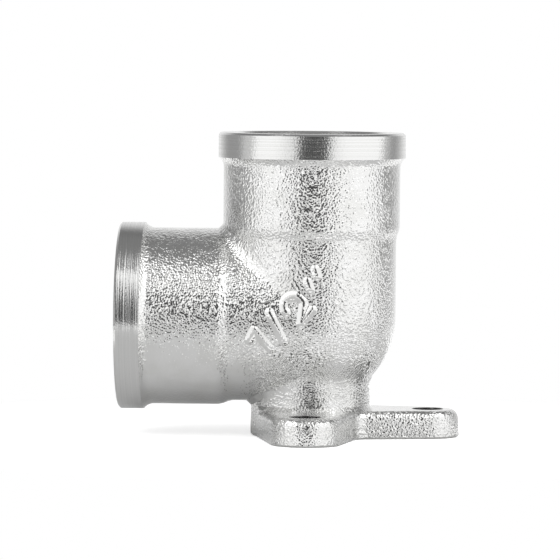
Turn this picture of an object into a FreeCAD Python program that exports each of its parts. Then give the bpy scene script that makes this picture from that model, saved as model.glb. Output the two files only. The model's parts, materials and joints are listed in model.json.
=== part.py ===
import FreeCAD, Part
import math
import os

from FreeCAD import Vector

# Wall plate elbow: one brass forging, drilled and threaded, that turns a pipe out of a wall.
# Millimetres. The outlet axis is Z and meets the wall face of the plate at the origin.
# The inlet opens towards -X, and the two axes cross at the elbow's centre.

# Overall places, from the wall face and from the outlet axis
inlet_axis_height = 17.1
outlet_height = 43.75
inlet_reach = 27.6

# Sockets: the threaded wall is plain here, at the root diameter of a half-inch pipe thread
thread_root_diameter = 20.955
thread_depth = 14.0
mouth_chamfer = 0.5
collar_diameter = 27.0
collar_length = 3.6
collar_edge_break = 0.3
collar_lip = 0.1         # the forged flare ends this far below the turned collar
flare_length = 1.35
flare_facets = 3
barrel_diameter = 25.5
step_distance = 11.1     # from the elbow's centre to the foot of the step on each barrel
step_length = 2.1
step_facets = 3
step_sink = 0.01         # the step starts this far inside the waist, so that the two cross cleanly

# Elbow between the sockets
waist_diameter = 24.5
inlet_waist_relief = 0.1  # the inlet's waist is this much slimmer than the ball it runs into
inner_corner_fillet = 3.0
waterway_diameter = 16.5
drill_point_angle = 118.0

# Neck between the elbow and the plate
neck_diameter = 17.2
neck_top_bevel = 0.65
neck_foot_bevel = 0.5

# Plate with three tapered ears, each with a screw hole
plate_thickness = 4.0
plate_draft = 4.0        # degrees
plate_top_round = 1.2
plate_bottom_break = 0.3
ear_directions = (-90.0, 0.0, 90.0)
ear_tuck = 0.2           # the ears' sides run to a hub this much slimmer than the neck
ear_reach = 21.6         # from the outlet axis to the tip
ear_tip_radius = 5.2
ear_root_radius = 2.2
screw_distance = 17.0    # from the outlet axis
screw_hole_diameter = 4.5
screw_edge_break = 0.08

# Worked out from the sizes above
up = Vector(0, 0, 1)
to_inlet = Vector(-1, 0, 0)
centre = Vector(0, 0, inlet_axis_height)
outlet_reach = outlet_height - inlet_axis_height
waist_radius = waist_diameter / 2
inlet_waist_radius = waist_radius - inlet_waist_relief
waterway_radius = waterway_diameter / 2
neck_radius = neck_diameter / 2
hub_radius = neck_radius - ear_tuck
cut_margin = 1.0         # how far a cutter runs past the face that it opens
same = 1e-4              # lengths and cosines closer than this count as equal


def on_profile(radius, along):
    return Vector(radius, 0, along)


# Points of a curve in a few straight facets, whose rise follows a rule from 0 to 1
def faceted(start, end, count, rule):
    shares = [i / count for i in range(count + 1)]
    rise = end.x - start.x
    run = end.z - start.z
    return [on_profile(start.x + rise * rule(share), start.z + run * share) for share in shares]


# Double curve, level at both ends
def ogee(share):
    return share ** 2 * (3 - 2 * share)


# Hollow curve, level at its start
def hollow(share):
    return share ** 2


# Solid turned about Z from a closed outline
def turned(points):
    return Part.Face(Part.makePolygon(points + points[:1])).revolve(Vector(), up, 360)


# Both arms are made along Z from the elbow's centre, then placed
def at_outlet(shape):
    return shape.translated(centre)


def at_inlet(shape):
    return shape.rotated(Vector(), Vector(0, 1, 0), -90).translated(centre)


# Forged barrel with the step at its foot, the flare and the turned collar at its mouth
def socket(reach, foot_radius):
    collar_radius = collar_diameter / 2
    barrel_radius = barrel_diameter / 2
    collar_start = reach - collar_length
    foot = on_profile(foot_radius - step_sink, step_distance)
    step_top = on_profile(barrel_radius, step_distance + step_length)
    flare_foot = on_profile(barrel_radius, collar_start - flare_length)
    flare_top = on_profile(collar_radius - collar_lip, collar_start)
    points = [on_profile(0, step_distance)]
    points += faceted(foot, step_top, step_facets, ogee)
    points += faceted(flare_foot, flare_top, flare_facets, hollow)
    points += [
        on_profile(collar_radius, collar_start),
        on_profile(collar_radius, reach - collar_edge_break),
        on_profile(collar_radius - collar_edge_break, reach),
        on_profile(0, reach),
    ]
    return turned(points)


# Cutter for one arm: waterway with its drill point, threaded wall and mouth chamfer
def socket_bore(reach):
    root_radius = thread_root_diameter / 2
    point_length = waterway_radius / math.tan(math.radians(drill_point_angle / 2))
    wall_end = reach - thread_depth
    return turned([
        on_profile(0, -point_length),
        on_profile(waterway_radius, 0),
        on_profile(waterway_radius, wall_end),
        on_profile(root_radius, wall_end),
        on_profile(root_radius, reach - mouth_chamfer),
        on_profile(root_radius + mouth_chamfer + cut_margin, reach + cut_margin),
        on_profile(0, reach + cut_margin),
    ])


def is_cylinder(face, radius, axis):
    surface = face.Surface
    if not isinstance(surface, Part.Cylinder):
        return False
    return abs(surface.Radius - radius) < same and abs(abs(surface.Axis.dot(axis)) - 1) < same


# Edges where a face that passes the first test meets one that passes the second
def edges_between(shape, first, second):
    found = []
    for edge in shape.Edges:
        faces = shape.ancestorsOfType(edge, Part.Face)
        if len(faces) == 2 and any(first(a) and second(b) for a, b in (faces, faces[::-1])):
            found.append(edge)
    return found


# Two waists and the ball at their crossing, with the crease between them filled
def elbow_core():
    outlet_waist = Part.makeCylinder(waist_radius, outlet_reach - collar_length, centre, up)
    inlet_waist = Part.makeCylinder(inlet_waist_radius, inlet_reach - collar_length, centre, to_inlet)
    ball = Part.makeSphere(waist_radius, centre)
    core = outlet_waist.fuse([inlet_waist, ball]).removeSplitter().Solids[0]

    def on_inlet(face):
        return is_cylinder(face, inlet_waist_radius, to_inlet)

    def on_elbow(face):
        return is_cylinder(face, waist_radius, up) or isinstance(face.Surface, Part.Sphere)

    return core.makeFillet(inner_corner_fillet, edges_between(core, on_inlet, on_elbow))


# Core on its neck, with a bevel all the way round under the elbow
def core_on_neck():
    neck = Part.makeCylinder(neck_radius, inlet_axis_height, Vector(), up)
    body = elbow_core().fuse(neck).removeSplitter().Solids[0]

    def on_neck(face):
        return is_cylinder(face, neck_radius, up)

    def on_core(face):
        return not on_neck(face) and not isinstance(face.Surface, Part.Plane)

    return body.makeChamfer(neck_top_bevel, edges_between(body, on_neck, on_core))


# Upright prism of one ear: a round tip whose sides run tangent into the hub
def ear(direction):
    tip_centre = Vector(ear_reach - ear_tip_radius, 0, 0)
    taper = math.asin((hub_radius - ear_tip_radius) / tip_centre.x)
    outward = Vector(math.sin(taper), math.cos(taper), 0)
    side = [outward * hub_radius, tip_centre + outward * ear_tip_radius]
    other_side = [Vector(point.x, -point.y, 0) for point in reversed(side)]
    web = Part.Face(Part.makePolygon(side + other_side + side[:1])).extrude(up * plate_thickness)
    tip = Part.makeCylinder(ear_tip_radius, plate_thickness, tip_centre)
    return web.fuse(tip).rotated(Vector(), up, direction)


# Upright straight edges whose distance from the outlet axis lies between two values
def upright_edges(shape, nearest, farthest):
    found = []
    for edge in shape.Edges:
        box = edge.BoundBox
        distance = math.hypot(box.Center.x, box.Center.y)
        if box.DiagonalLength - box.ZLength < same and nearest < distance < farthest:
            found.append(edge)
    return found


# Wire round the hub and the ears, with the inner corners between the ears rounded
def plate_outline():
    hub = Part.makeCylinder(hub_radius, plate_thickness)
    blank = hub.fuse([ear(direction) for direction in ear_directions]).removeSplitter().Solids[0]
    inner_corners = upright_edges(blank, neck_radius, ear_reach - ear_tip_radius)
    blank = blank.makeFillet(ear_root_radius, inner_corners)
    return min(blank.Faces, key=lambda face: face.CenterOfMass.z).OuterWire


# The outline raised to a height, drawn in by the forging draft as it rises
def drafted_blank(height):
    bottom = plate_outline()
    top = bottom.makeOffset2D(-height * math.tan(math.radians(plate_draft))).translated(up * height)
    return Part.makeLoft([bottom, top], True, True)


def plate():
    blank = drafted_blank(plate_thickness)
    top = max(blank.Faces, key=lambda face: face.CenterOfMass.z)
    return blank.makeFillet(plate_top_round, top.Edges)


# Bevel where the neck spreads on to the ears, kept inside the ears' sides
def neck_foot():
    low = plate_thickness - plate_top_round
    top = plate_thickness + neck_foot_bevel
    spread = neck_radius + neck_foot_bevel
    bevel = turned([
        on_profile(0, low),
        on_profile(spread, low),
        on_profile(spread, plate_thickness),
        on_profile(neck_radius, top),
        on_profile(0, top),
    ])
    return bevel.common(drafted_blank(top))


# Cutter for one screw hole, with its top edge broken
def screw_hole(direction):
    radius = screw_hole_diameter / 2
    mouth = plate_thickness - screw_edge_break
    hole = turned([
        on_profile(0, -cut_margin),
        on_profile(radius, -cut_margin),
        on_profile(radius, mouth),
        on_profile(radius + screw_edge_break + cut_margin, plate_thickness + cut_margin),
        on_profile(0, plate_thickness + cut_margin),
    ])
    return hole.translated(Vector(screw_distance, 0, 0)).rotated(Vector(), up, direction)


# Ease the edge all round the wall face
def with_bottom_break(body):
    wall_face = min(body.Faces, key=lambda face: face.CenterOfMass.z)
    return body.makeChamfer(plate_bottom_break, wall_face.OuterWire.Edges)


def elbow_body():
    inlet_socket = at_inlet(socket(inlet_reach, inlet_waist_radius))
    outlet_socket = at_outlet(socket(outlet_reach, waist_radius))
    forging = core_on_neck().fuse([plate(), neck_foot(), inlet_socket, outlet_socket])
    forging = with_bottom_break(forging.removeSplitter().Solids[0])
    cutters = [at_inlet(socket_bore(inlet_reach)), at_outlet(socket_bore(outlet_reach))]
    cutters += [screw_hole(direction) for direction in ear_directions]
    return forging.cut(cutters).removeSplitter().Solids[0]


os.makedirs("parts", exist_ok=True)
elbow_body().exportStep("parts/elbow_body.step")
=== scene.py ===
import bpy
import json
import math
from mathutils import Matrix, Vector


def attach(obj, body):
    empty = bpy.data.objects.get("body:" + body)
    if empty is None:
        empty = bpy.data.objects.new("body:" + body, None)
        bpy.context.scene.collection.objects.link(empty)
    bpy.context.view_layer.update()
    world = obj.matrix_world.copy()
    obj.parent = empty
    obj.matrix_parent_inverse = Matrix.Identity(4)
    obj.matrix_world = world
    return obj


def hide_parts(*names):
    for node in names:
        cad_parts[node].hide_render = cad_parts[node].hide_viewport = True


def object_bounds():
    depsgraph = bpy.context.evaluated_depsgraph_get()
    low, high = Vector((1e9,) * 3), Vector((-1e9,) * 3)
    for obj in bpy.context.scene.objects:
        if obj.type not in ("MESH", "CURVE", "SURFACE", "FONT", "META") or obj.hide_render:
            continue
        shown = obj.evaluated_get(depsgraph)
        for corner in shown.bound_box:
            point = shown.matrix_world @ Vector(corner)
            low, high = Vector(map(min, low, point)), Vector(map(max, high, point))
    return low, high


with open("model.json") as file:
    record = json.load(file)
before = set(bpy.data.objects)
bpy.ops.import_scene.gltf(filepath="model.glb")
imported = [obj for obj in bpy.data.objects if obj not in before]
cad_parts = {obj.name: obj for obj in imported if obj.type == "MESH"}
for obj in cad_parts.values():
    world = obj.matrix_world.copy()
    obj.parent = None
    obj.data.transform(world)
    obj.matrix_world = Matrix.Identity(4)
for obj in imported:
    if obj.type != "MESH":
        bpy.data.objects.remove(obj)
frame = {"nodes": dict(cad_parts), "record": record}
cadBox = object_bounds()
mm = 0.001
scene = bpy.context.scene
scene.view_settings.view_transform = "Standard"
print("frame loaded with", ", ".join(frame["nodes"]))

# Places read from the frame: the two mouths, the inlet's axis and the threaded walls
mounts = {mount["name"]: mount for mount in frame["record"]["mounts"]}
outletMouth = cadBox[1].z
inletMouth = cadBox[0].x
inletHeight = mounts["inlet_port"]["pos_m"][2]
inletTurn = (0, -math.pi / 2, 0)         # from the outlet's axis to the inlet's
threadRoot = mounts["outlet_port"]["dims"]["r_mm"] * mm
threadLength = mounts["outlet_port"]["dims"]["length_mm"] * mm


# Modelling helpers

def pickOnly(piece):
    bpy.ops.object.select_all(action="DESELECT")
    piece.select_set(True)
    bpy.context.view_layer.objects.active = piece


def applyAll(piece):                     # every modifier
    pickOnly(piece)
    for modifier in list(piece.modifiers):
        bpy.ops.object.modifier_apply(modifier=modifier.name)


def settle(piece):                       # place, turn and scale go into the mesh
    pickOnly(piece)
    bpy.ops.object.transform_apply(location=True, rotation=True, scale=True)


def editAll(piece):
    pickOnly(piece)
    bpy.ops.object.mode_set(mode="EDIT")
    bpy.ops.mesh.select_all(action="SELECT")


def leaveEdit():
    bpy.ops.object.mode_set(mode="OBJECT")


def clearPicks(piece):                   # no vertex, edge or face stays selected
    editAll(piece)
    bpy.ops.mesh.select_all(action="DESELECT")
    leaveEdit()


def deletePicked(piece, kind):
    pickOnly(piece)
    bpy.ops.object.mode_set(mode="EDIT")
    bpy.ops.mesh.delete(type=kind)
    leaveEdit()


def merge(piece, distance):
    editAll(piece)
    bpy.ops.mesh.remove_doubles(threshold=distance)
    leaveEdit()


def smooth(piece, angle):                # edges that turn by more degrees stay sharp
    pickOnly(piece)
    bpy.ops.object.shade_smooth_by_angle(angle=math.radians(angle))


def backUp(piece, thickness):            # wall behind the faces of a sheet
    wall = piece.modifiers.new("back", "SOLIDIFY")
    wall.thickness = thickness
    wall.offset = -1


# Shader sums: a wire carries a socket, and sums on wires add Math nodes

class Wire:
    def __init__(self, tree, socket=None):
        self.tree = tree
        self.socket = socket

    def node(self, kind, settings, sockets, out=0):
        made = self.tree.nodes.new("ShaderNode" + kind)
        for name, value in settings.items():
            setattr(made, name, value)
        for name, value in sockets.items():
            if isinstance(value, Wire):
                self.tree.links.new(value.socket, made.inputs[name])
            else:
                made.inputs[name].default_value = value
        return Wire(self.tree, made.outputs[out] if made.outputs else None)

    def sums(self, operation, *values):
        return self.node("Math", {"operation": operation}, dict(enumerate(values)))

    def __add__(self, other):
        return self.sums("ADD", self, other)

    def __radd__(self, other):
        return self.sums("ADD", other, self)

    def __sub__(self, other):
        return self.sums("SUBTRACT", self, other)

    def __rsub__(self, other):
        return self.sums("SUBTRACT", other, self)

    def __mul__(self, other):
        return self.sums("MULTIPLY", self, other)

    def __rmul__(self, other):
        return self.sums("MULTIPLY", other, self)

    def __abs__(self):
        return self.sums("ABSOLUTE", self)

    def towards(self, value, share):
        return self + (value - self) * share

    def ramp(self, low, high, toLow=0.0, toHigh=1.0):
        return self.node("MapRange", {"interpolation_type": "SMOOTHSTEP"},
                         {"Value": self, "From Min": low, "From Max": high,
                          "To Min": toLow, "To Max": toHigh})

    def blend(self, first, second):      # a Mix node's colours are sockets 6 and 7, and output 2
        return self.node("Mix", {"data_type": "RGBA"}, {0: self, 6: first, 7: second}, 2)


def newMaterial(name):                   # with a wire of its Object coordinates
    material = bpy.data.materials.new(name)
    material.use_nodes = True
    material.node_tree.nodes.clear()
    return material, Wire(material.node_tree).node("TexCoord", {}, {}, "Object")


def coordinate(place, axis):
    return place.node("SeparateXYZ", {}, {0: place}, axis)


def length(place):
    return place.node("VectorMath", {"operation": "LENGTH"}, {0: place}, "Value")


def fromAxis(place):                     # distance from the Z axis
    return length(place.node("VectorMath", {"operation": "MULTIPLY"}, {0: place, 1: (1, 1, 0)}))


def noise(place, size, detail):          # size of one lump, in metres
    return place.node("TexNoise", {}, {"Vector": place, "Scale": 1 / size, "Detail": detail})


def metalOutput(colour, roughness, height, distance):
    bump = height.node("Bump", {}, {"Strength": 1.0, "Distance": distance, "Height": height})
    shader = bump.node("BsdfPrincipled", {}, {"Metallic": 1.0, "Base Color": colour,
                                              "Roughness": roughness, "Normal": bump})
    shader.node("OutputMaterial", {}, {"Surface": shader})


# Finishes: a ramp starts and ends at its first two values of a pattern, and gives the next two there

blastedFinish = {
    "light": (0.66, 0.66, 0.655, 1),
    "dull": (0.62, 0.62, 0.61, 1),
    "mottle": 3.5 * mm,
    "dullness": (0.35, 0.65),               # ramps of the mottle, to colour
    "roughness": (0.35, 0.7, 0.01, 0.04),   # and to roughness
    "dimple": 0.34 * mm,
    "dimpleSlope": 0.22,
    "variety": 0.6 * mm,                    # over such lengths the dimples grow shallower or deeper
    "depths": (0.35, 0.65, 0.7, 1.3),
    "neck": (8.9 * mm, 9.6 * mm, 0.7, 1),   # the grain is calmer this near the outlet's axis
}
markFinish = {**blastedFinish, "dimpleSlope": 0.06, "roughness": (0.35, 0.7, 0.02, 0.06)}


def blastedNickel(name, finish):
    material, place = newMaterial(name)
    mottle = noise(place, finish["mottle"], detail=3)
    dimple = place.node("TexVoronoi", {}, {"Vector": place, "Scale": 1 / finish["dimple"]})
    depth = noise(place, finish["variety"], detail=1).ramp(*finish["depths"])
    grain = dimple * depth * fromAxis(place).ramp(*finish["neck"])
    colour = mottle.ramp(*finish["dullness"]).blend(finish["light"], finish["dull"])
    roughness = mottle.ramp(*finish["roughness"])
    metalOutput(colour, roughness, grain, finish["dimple"] * finish["dimpleSlope"])
    return material


turnedFinish = {
    "light": (0.67, 0.67, 0.665, 1),
    "dull": (0.63, 0.63, 0.62, 1),
    "line": 0.2 * mm,
    "lineDepth": 0.015 * mm,
    "dullness": (0.3, 0.7),                 # ramps of the lines, to colour
    "roughness": (0.3, 0.7, 0.14, 0.22),    # and to roughness
    "speck": 0.25 * mm,
    "speckDepth": 0.024 * mm,
}
# the inlet's turned nickel is the outlet's with darker colours, which is painted shade; its deeper
# turning lines are its own
inletPaintedShadeFinish = {**turnedFinish, "light": (0.585, 0.585, 0.58, 1), "dull": (0.545, 0.545, 0.54, 1),
               "lineDepth": 0.031 * mm, "speckDepth": 0.013 * mm}
# the drilled walls are coloured far darker than the turned nickel, which is painted shade inside the
# screw holes
drilledPaintedShadeFinish = {**turnedFinish, "light": (0.36, 0.36, 0.355, 1), "dull": (0.3, 0.3, 0.295, 1),
                 "lineDepth": 0.01 * mm}


def turnedNickel(name, finish, centre=(0, 0, 0), turn=(0, 0, 0)):     # lines run round the local Z axis
    material, place = newMaterial(name)
    local = place.node("Mapping", {"vector_type": "TEXTURE"},
                       {"Vector": place, "Location": centre, "Rotation": turn})
    reach = fromAxis(local) + coordinate(local, "Z")
    line = reach.node("TexNoise", {"noise_dimensions": "1D"},
                      {"W": reach, "Scale": 1 / finish["line"], "Detail": 0.5})
    speck = noise(place, finish["speck"], detail=1)
    height = line * finish["lineDepth"] + speck * finish["speckDepth"]
    colour = line.ramp(*finish["dullness"]).blend(finish["light"], finish["dull"])
    metalOutput(colour, line.ramp(*finish["roughness"]), height, distance=1.0)
    return material


blasted = blastedNickel("blastedNickel", blastedFinish)
blastedMark = blastedNickel("markNickel", markFinish)
turnedOutlet = turnedNickel("turnedOutlet", turnedFinish)
turnedInletPaintedShade = turnedNickel("turnedInletPaintedShade", inletPaintedShadeFinish, (0, 0, inletHeight), inletTurn)
drilledPaintedShade = turnedNickel("drilledPaintedShade", drilledPaintedShadeFinish)
print("finishes made")


# Body: the forging, with its turned collars, bores and screw holes told apart by place

bodyLook = {
    "node": "elbow_body",
    "merge": 0.002 * mm,
    "smoothAngle": 35,
    "collarLength": 3.6 * mm,
    "boreRoom": 0.6 * mm,                # a bore's faces lie at most this far outside the thread's roots
    "shoulderFacing": 0.9,               # least cosine between a shoulder's normal and its bore's axis
    "screwHoles": ("front_screw", "back_screw", "end_screw"),
    "holeRoom": 0.3 * mm,                # a hole's faces lie at most this far outside its radius
}
bodyFinishes = (blasted, turnedOutlet, turnedInletPaintedShade, drilledPaintedShade)


def inScrewHole(point, look):
    for name in look["screwHoles"]:
        hole = mounts[name]
        reach = hole["dims"]["r_mm"] * mm + look["holeRoom"]
        if (point.xy - Vector(hole["pos_m"][:2])).length < reach:
            return True
    return False


def finishAt(centre, normal, look):      # of a face
    # the screw holes' walls take the dark drilled colours, which are painted shade in the holes
    if inScrewHole(centre, look):
        return drilledPaintedShade
    collar = look["collarLength"] + look["merge"]
    if centre.z > outletMouth - collar:
        return turnedOutlet
    if centre.x < inletMouth + collar:
        return turnedInletPaintedShade
    fromMiddle = centre - Vector((0, 0, inletHeight))
    aboveNeck = centre.z > inletHeight / 2           # the bores' walls all are
    for along, finish in ((Vector((0, 0, 1)), turnedOutlet), (Vector((-1, 0, 0)), turnedInletPaintedShade)):
        reach = fromMiddle.dot(along)
        outward = fromMiddle - along * reach
        wall = outward.length < threadRoot + look["boreRoom"] and outward.dot(normal) < 0
        facing = normal.dot(along) > look["shoulderFacing"]
        shoulder = outward.length < threadRoot and facing and reach > 0
        if (wall and aboveNeck) or shoulder:
            return finish
    return blasted


def makeBody(look):
    node = frame["nodes"][look["node"]]
    body = bpy.data.objects.new("forged_elbow", node.data.copy())
    scene.collection.objects.link(body)
    pickOnly(body)
    bpy.ops.mesh.customdata_custom_splitnormals_clear()
    merge(body, look["merge"])
    smooth(body, look["smoothAngle"])
    body.data.materials.clear()
    for material in bodyFinishes:
        body.data.materials.append(material)
    for face in body.data.polygons:
        face.material_index = bodyFinishes.index(finishAt(face.center, face.normal, look))
    weighted = body.modifiers.new("weighted", "WEIGHTED_NORMAL")
    weighted.mode = "FACE_AREA"
    weighted.keep_sharp = True
    applyAll(body)
    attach(body, "root")
    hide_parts(look["node"])
    return body


def finishPiece(piece, name, material):  # for the pieces that are added to the body
    piece.name = name
    piece.data.name = name
    piece.data.materials.clear()
    piece.data.materials.append(material)
    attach(piece, "root")


body = makeBody(bodyLook)
print("body dressed with", len(body.data.polygons), "faces")


# Threads: one helical sheet with a thin back, cut at the shoulder and eased at the mouth

threadLook = {
    "pitch": 1.814 * mm,
    "height": 1.162 * mm,
    "flank": 0.46,                       # share of the pitch from a root to a crest
    "chamfer": 0.5 * mm,                 # of the mouth, before the threaded wall
    "clear": 0.01 * mm,                  # the roots stand this far in front of the wall
    "thickness": 0.12 * mm,
    "spareTurns": 2,                     # cut off again at the two ends
    "cuts": 11,
    "steps": 96,
    "smoothAngle": 40,
}


def ogee(share):                         # double curve from 0 to 1, level at both ends
    share = min(max(share, 0), 1)
    return share * share * (3 - 2 * share)


def ridgeLine(look, drop):               # section of one ridge, this far below the mouth
    pitch = look["pitch"]
    root = threadRoot - look["clear"]
    bpy.ops.object.select_all(action="DESELECT")
    bpy.ops.mesh.primitive_plane_add(size=pitch, location=(root, 0, 0), rotation=(math.pi / 2, 0, 0))
    line = bpy.context.object
    settle(line)
    clearPicks(line)
    for vertex in line.data.vertices:    # only the outer edge of the plane is kept
        vertex.select = vertex.co.x < root
    deletePicked(line, "VERT")
    editAll(line)
    bpy.ops.mesh.subdivide(number_cuts=look["cuts"])
    leaveEdit()
    for vertex in line.data.vertices:
        fromRoot = 0.5 - abs(vertex.co.z) / pitch
        vertex.co.x = root - look["height"] * ogee(fromRoot / look["flank"])
        vertex.co.z -= drop
    return line


def cutLevel(piece, height, keepAbove):
    editAll(piece)
    bpy.ops.mesh.bisect(plane_co=(0, 0, height), plane_no=(0, 0, 1),
                        clear_inner=keepAbove, clear_outer=not keepAbove)
    leaveEdit()


def easeMouth(thread, look):             # lead-in: near the mouth the crests widen into a cone
    for vertex in thread.data.vertices:
        radius = math.hypot(vertex.co.x, vertex.co.y)
        eased = max(radius, threadRoot + look["chamfer"] + vertex.co.z - look["clear"])
        vertex.co.x *= eased / radius
        vertex.co.y *= eased / radius


def faceInwards(piece):                  # towards the Z axis
    inwards = [face.normal.xy.dot(face.center.xy) < 0 for face in piece.data.polygons]
    if sum(inwards) < len(inwards) / 2:
        editAll(piece)
        bpy.ops.mesh.flip_normals()
        leaveEdit()


def makeThread(look):                    # its mouth is at the origin and it runs down -Z
    depth = threadLength + look["chamfer"]
    turns = math.ceil(depth / look["pitch"]) + look["spareTurns"]
    thread = ridgeLine(look, (turns - 1) * look["pitch"])
    screw = thread.modifiers.new("helix", "SCREW")
    screw.screw_offset = look["pitch"]
    screw.iterations = turns
    screw.steps = screw.render_steps = look["steps"]
    screw.use_merge_vertices = True
    screw.merge_threshold = look["clear"]
    applyAll(thread)
    cutLevel(thread, -depth, keepAbove=True)
    cutLevel(thread, -look["chamfer"], keepAbove=False)
    easeMouth(thread, look)
    merge(thread, look["clear"] / 2)
    faceInwards(thread)
    backUp(thread, look["thickness"])
    applyAll(thread)
    smooth(thread, look["smoothAngle"])
    return thread


outletThread = makeThread(threadLook)
inletThread = outletThread.copy()
inletThread.data = outletThread.data.copy()
scene.collection.objects.link(inletThread)
outletThread.location = (0, 0, outletMouth)
inletThread.location = (inletMouth, 0, inletHeight)
inletThread.rotation_euler = inletTurn
for piece, name, material in ((outletThread, "outlet_thread", turnedOutlet),
                              (inletThread, "inlet_thread", turnedInletPaintedShade)):
    settle(piece)
    finishPiece(piece, name, material)
print("threads cut with", len(outletThread.data.polygons), "faces each")


# Size mark: raised round strokes on the front flank
# The drawing is in millimetres, along and above its baseline

markLook = {
    "foot": (-4.76 * mm, 12.88 * mm),    # where the baseline starts, across and up
    "tilt": 45.7,
    "strokes": (
        ((-0.13, 0.5), (0.22, 4.15), (-1.4, 3.6)),
        ((1.95, 0.0), (3.5, 4.35)),
        ((5.5, 0.05), (8.1, 0.3)),
        ((5.5, 0.05), (7.98, 1.93)),
        ((9.97, 2.6), (10.45, 3.65)),
        ((11.95, 3.15), (12.45, 4.1)),
    ),
    "bowl": {"centre": (6.6, 2.6), "radius": 1.4, "from": -40, "to": 178, "parts": 16},
    "halfWidth": 0.71,                   # of a stroke, in the drawing
    "margin": 1.0,                       # of the grid round the drawing
    "mesh": 0.08,                        # step of that grid
    "bell": 1.5,                         # power of the strokes' cross-section
    "rise": 0.24 * mm,
    "sink": 0.004 * mm,                  # of the edges, into the flank
    "back": 0.3 * mm,
    "smoothAngle": 60,
}


def bowlStroke(bowl):                    # the round top of the 2
    points = []
    for step in range(bowl["parts"] + 1):
        angle = math.radians(bowl["from"] + (bowl["to"] - bowl["from"]) * step / bowl["parts"])
        points.append((bowl["centre"][0] + bowl["radius"] * math.cos(angle),
                       bowl["centre"][1] + bowl["radius"] * math.sin(angle)))
    return points


def distanceToStroke(point, stroke):
    nearest = math.inf
    for start, end in zip(stroke, stroke[1:]):
        start = Vector(start)
        run = Vector(end) - start
        share = min(max((point - start).dot(run) / run.length_squared, 0), 1)
        nearest = min(nearest, (point - start - run * share).length)
    return nearest


def gridOver(strokes, look):
    across, above = zip(*(point for stroke in strokes for point in stroke))
    margin = Vector((look["margin"], look["margin"]))
    low = Vector((min(across), min(above))) - margin
    high = Vector((max(across), max(above))) + margin
    size = high - low
    bpy.ops.object.select_all(action="DESELECT")
    bpy.ops.mesh.primitive_grid_add(size=1, x_subdivisions=round(size.x / look["mesh"]),
                                    y_subdivisions=round(size.y / look["mesh"]))
    grid = bpy.context.object
    grid.scale = (size.x, size.y, 1)
    grid.location = ((low.x + high.x) / 2, (low.y + high.y) / 2, 0)
    settle(grid)
    clearPicks(grid)
    return grid


def displace(piece, name, strength, group=""):
    moved = piece.modifiers.new(name, "DISPLACE")
    moved.vertex_group = group
    moved.strength = strength
    moved.mid_level = 0


def makeMark(look):
    strokes = [*look["strokes"], bowlStroke(look["bowl"])]
    mark = gridOver(strokes, look)
    crown = mark.vertex_groups.new(name="crown")
    for vertex in mark.data.vertices:    # weigh the strokes' points, and pick the rest to go
        away = min(distanceToStroke(vertex.co.xy, stroke) for stroke in strokes) / look["halfWidth"]
        vertex.select = away > 1
        if away < 1:
            crown.add([vertex.index], (1 - away * away) ** look["bell"], "REPLACE")
    deletePicked(mark, "FACE")
    mark.scale = (mm, mm, mm)
    mark.rotation_euler = (math.pi / 2, -math.radians(look["tilt"]), 0)
    mark.location = (look["foot"][0], 2 * cadBox[0].y, look["foot"][1])      # well in front of the body
    settle(mark)
    wrap = mark.modifiers.new("on the flank", "SHRINKWRAP")
    wrap.target = body
    wrap.wrap_method = "PROJECT"
    wrap.use_project_y = True
    displace(mark, "raised", look["rise"], "crown")
    displace(mark, "sunk", -look["sink"])
    backUp(mark, look["back"])
    applyAll(mark)
    mark.vertex_groups.clear()
    smooth(mark, look["smoothAngle"])
    finishPiece(mark, "size_mark", blastedMark)
    return mark


mark = makeMark(markLook)
print("size mark raised with", len(mark.data.polygons), "faces")


# Floor and light: a ramp starts and ends at its first two places, and gives the next two values there
# Places are in metres on the floor, and shares of a direction in the world

stageLook = {
    "floorRadius": 0.14,
    "floorSides": 96,
    "floor": (0.82, 0.82, 0.82, 1),
    "floorSeen": 0.6,                           # glow of the floor for the camera
    "fade": (0.045, 0.072),                     # to plain white for the camera, out from the middle
    "footAcross": (-0.014, -0.006, 0, 0.95),    # glow in mirrors, in a patch by the foot: across,
    "footStart": (0.022, 0.027),                # and from here
    "footEnd": (0.026, 0.034, 1, 0),            # to here, out from the middle
    "floorFar": (0.067, 0.086, 0.02, 0.75),     # glow in mirrors, far out from the middle,
    "stripStart": (-0.048, -0.04),              # but for a strip across, in line with the inlet's collar
    "stripEnd": (-0.025, -0.019, 1, 0),
    "sides": (0.3, 0.75, 0.11, 0.42),           # light of the room, brighter to both sides
    "overhead": (0.6, 0.95),
    "overheadLevel": 0.32,
    "backdrop": (0.55, 0.95),                   # to plain white behind the object
}


def isRay(place, kind):                  # 1 for rays of that kind, or else 0
    return place.node("LightPath", {}, {}, f"Is {kind} Ray")


def makeFloor(look):
    bpy.ops.object.select_all(action="DESELECT")
    bpy.ops.mesh.primitive_circle_add(radius=look["floorRadius"], vertices=look["floorSides"],
                                      fill_type="NGON")
    floor = bpy.context.object
    floor.name = "floor"
    material, place = newMaterial("paleFloor")
    across = coordinate(place, "X")
    away = length(place)
    foot = across.ramp(*look["footAcross"]) * away.ramp(*look["footStart"]) * away.ramp(*look["footEnd"])
    strip = across.ramp(*look["stripStart"]) * across.ramp(*look["stripEnd"])
    mirrored = foot + away.ramp(*look["floorFar"]) * (1 - strip)
    seen = isRay(place, "Camera")
    shine = seen * look["floorSeen"] + isRay(place, "Glossy") * mirrored
    paper = place.node("BsdfDiffuse", {}, {"Color": look["floor"]})
    glow = place.node("Emission", {}, {"Strength": shine})
    near = place.node("AddShader", {}, {0: paper, 1: glow})
    white = place.node("Emission", {}, {"Strength": 1.0})
    faded = away.ramp(*look["fade"]) * seen
    shown = place.node("MixShader", {}, {0: faded, 1: near, 2: white})
    shown.node("OutputMaterial", {}, {"Surface": shown})
    floor.data.materials.append(material)


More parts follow.
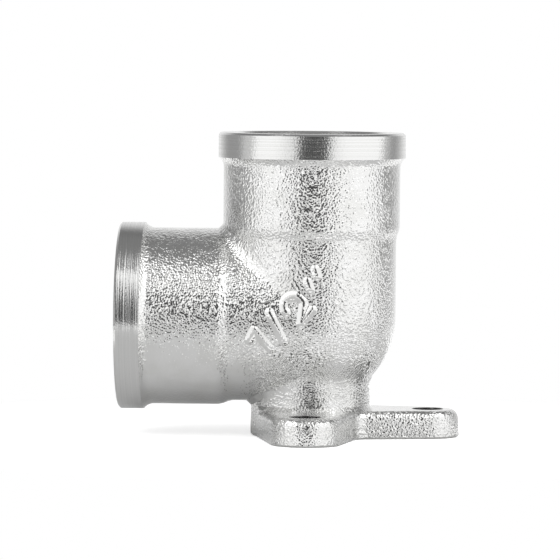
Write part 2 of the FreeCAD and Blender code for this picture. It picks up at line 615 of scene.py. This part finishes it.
def makeWorld(look):
    world = bpy.data.worlds.new("studio")
    scene.world = world
    world.use_nodes = True
    world.node_tree.nodes.clear()
    direction = Wire(world.node_tree).node("TexCoord", {}, {}, "Generated")
    room = abs(coordinate(direction, "X")).ramp(*look["sides"])
    overhead = coordinate(direction, "Z").ramp(*look["overhead"])
    behind = coordinate(direction, "Y").ramp(*look["backdrop"])
    level = room.towards(look["overheadLevel"], overhead).towards(1, behind)
    shown = level.towards(1, isRay(direction, "Camera"))
    backdrop = shown.node("Background", {}, {"Color": (1, 1, 1, 1), "Strength": shown})
    backdrop.node("OutputWorld", {}, {"Surface": backdrop})


# Each box lamp: degrees from the front (left is minus) and up, size across and up, brightness
lamps = {
    "leftBox": {"turn": -45, "rise": 20, "size": (0.605, 0.9), "radiance": 0.98},
    "rightBox": {"turn": 61.5, "rise": 20, "size": (0.84, 0.9), "radiance": 0.98},
    "leftEdge": {"turn": -85, "rise": 20, "size": (0.16, 0.8), "radiance": 0.36},
    "rightEdge": {"turn": 107, "rise": 20, "size": (0.1, 0.8), "radiance": 0.25},
    "leftHigh": {"turn": -62, "rise": 59, "size": (0.22, 0.25), "radiance": 0.95},
    "rightHigh": {"turn": 62, "rise": 59, "size": (0.22, 0.25), "radiance": 0.95},
    "leftTop": {"turn": -42, "rise": 42, "size": (0.5, 0.36), "radiance": 0.5},
    "rightTop": {"turn": 42, "rise": 42, "size": (0.5, 0.36), "radiance": 0.5},
}
lampStand = {"distance": 0.5, "aim": (0, 0, 0.02)}


def makeLamp(name, lamp, stand):
    light = bpy.data.lights.new(name, "AREA")
    light.shape = "RECTANGLE"
    light.size, light.size_y = lamp["size"]
    light.energy = lamp["radiance"] * math.pi * light.size * light.size_y
    turn = math.radians(lamp["turn"])
    rise = math.radians(lamp["rise"])
    outward = Vector((math.sin(turn) * math.cos(rise), -math.cos(turn) * math.cos(rise), math.sin(rise)))
    box = bpy.data.objects.new(name, light)
    box.location = Vector(stand["aim"]) + outward * stand["distance"]
    box.rotation_euler = (-outward).to_track_quat("-Z", "Y").to_euler()
    scene.collection.objects.link(box)


makeFloor(stageLook)
makeWorld(stageLook)
for name, lamp in lamps.items():
    makeLamp(name, lamp, lampStand)
print("stage lit by", len(lamps), "box lamps")


# Camera, fitted to the photograph's edges

cameraLook = {
    "place": (24.68 * mm, -653.66 * mm, 57.33 * mm),
    "pitch": 3.056,                      # degrees below level
    "yaw": 2.556,
    "roll": 0.458,
    "focal": 4532.28,                    # in pixels of the image
    "image": 560,
    "sensor": 36.0,
    "clip": (0.01, 20),
}


def makeCamera(look):
    data = bpy.data.cameras.new("camera")
    data.sensor_width = look["sensor"]
    data.lens = look["focal"] * look["sensor"] / look["image"]
    data.clip_start, data.clip_end = look["clip"]
    camera = bpy.data.objects.new("camera", data)
    turn = Matrix.Rotation(math.radians(look["yaw"]), 3, "Z")
    turn = turn @ Matrix.Rotation(math.radians(90 - look["pitch"]), 3, "X")
    turn = turn @ Matrix.Rotation(math.radians(look["roll"]), 3, "Z")
    camera.rotation_euler = turn.to_euler()
    camera.location = look["place"]
    scene.collection.objects.link(camera)
    scene.camera = camera


makeCamera(cameraLook)
print("camera set")
